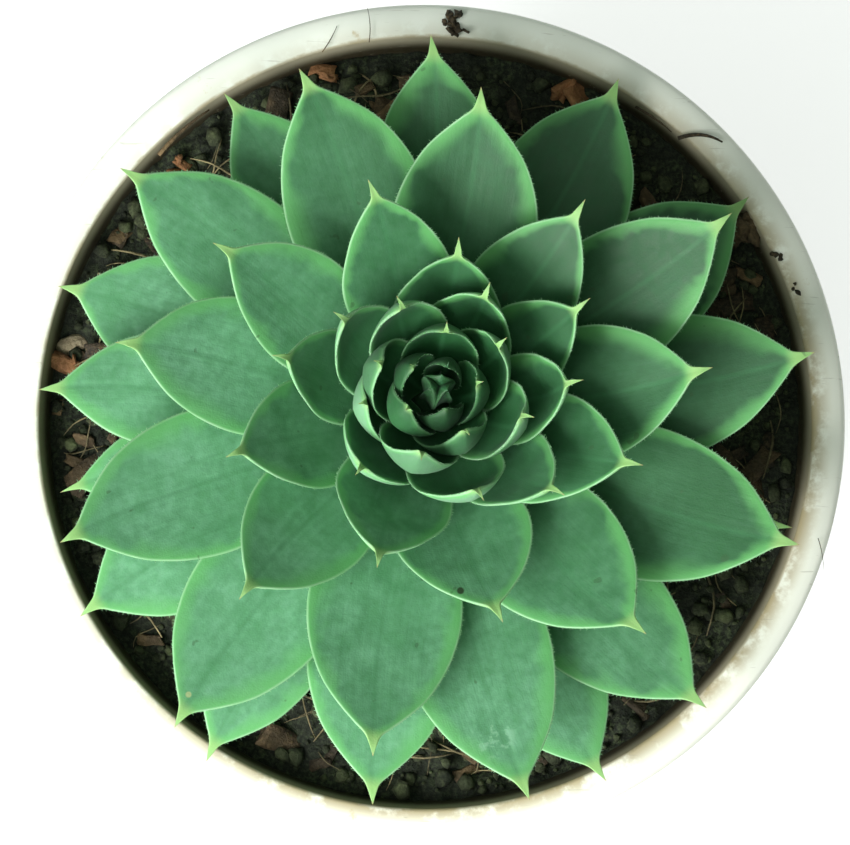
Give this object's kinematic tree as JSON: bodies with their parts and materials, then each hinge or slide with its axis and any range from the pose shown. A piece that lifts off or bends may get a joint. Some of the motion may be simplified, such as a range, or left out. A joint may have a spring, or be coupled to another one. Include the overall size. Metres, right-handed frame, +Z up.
{
  "type": "potted succulent",
  "caption": "Houseleek rosette of fleshy pointed leaves on a short stem, rooted in dark potting soil in a round white plastic plant pot with a turned-out rim.",
  "frame": {"origin": "centre of the circle that the pot's foot ring stands on", "axes": "+Z up along the pot's axis; +X and +Y level, with the stem leaning towards 60 degrees from +X to +Y"},
  "size_m": [0.12, 0.12, 0.1297],
  "materials": {
    "pot_plastic": "satin white, stained brown round the mouth",
    "soil": "crumbly peat with bark",
    "stem": "rough, dry",
    "leaf": "matt, waxy bloom"
  },
  "bodies": {
    "root": {"pot": "pot_plastic", "soil": "soil", "stem": "stem", "leaf_01": "leaf", "leaf_02": "leaf", "leaf_03": "leaf", "leaf_04": "leaf", "leaf_05": "leaf", "leaf_06": "leaf", "leaf_07": "leaf", "leaf_08": "leaf", "leaf_09": "leaf", "leaf_10": "leaf", "leaf_11": "leaf", "leaf_12": "leaf", "leaf_13": "leaf", "leaf_14": "leaf", "leaf_15": "leaf", "leaf_16": "leaf", "leaf_17": "leaf", "leaf_18": "leaf", "leaf_19": "leaf", "leaf_20": "leaf", "leaf_21": "leaf", "leaf_22": "leaf", "leaf_23": "leaf", "leaf_24": "leaf", "leaf_25": "leaf", "leaf_26": "leaf", "leaf_27": "leaf", "leaf_28": "leaf", "leaf_29": "leaf", "leaf_30": "leaf", "leaf_31": "leaf", "leaf_32": "leaf", "leaf_33": "leaf", "leaf_34": "leaf", "leaf_35": "leaf", "leaf_36": "leaf", "leaf_37": "leaf", "leaf_38": "leaf", "leaf_39": "leaf", "leaf_40": "leaf", "leaf_41": "leaf", "leaf_42": "leaf", "leaf_43": "leaf", "leaf_44": "leaf", "leaf_45": "leaf", "leaf_46": "leaf", "leaf_47": "leaf", "leaf_48": "leaf", "leaf_49": "leaf", "leaf_50": "leaf", "leaf_51": "leaf", "leaf_52": "leaf", "leaf_53": "leaf", "leaf_54": "leaf", "leaf_55": "leaf", "leaf_56": "leaf", "bud": "leaf"}
  },
  "joints": []
}
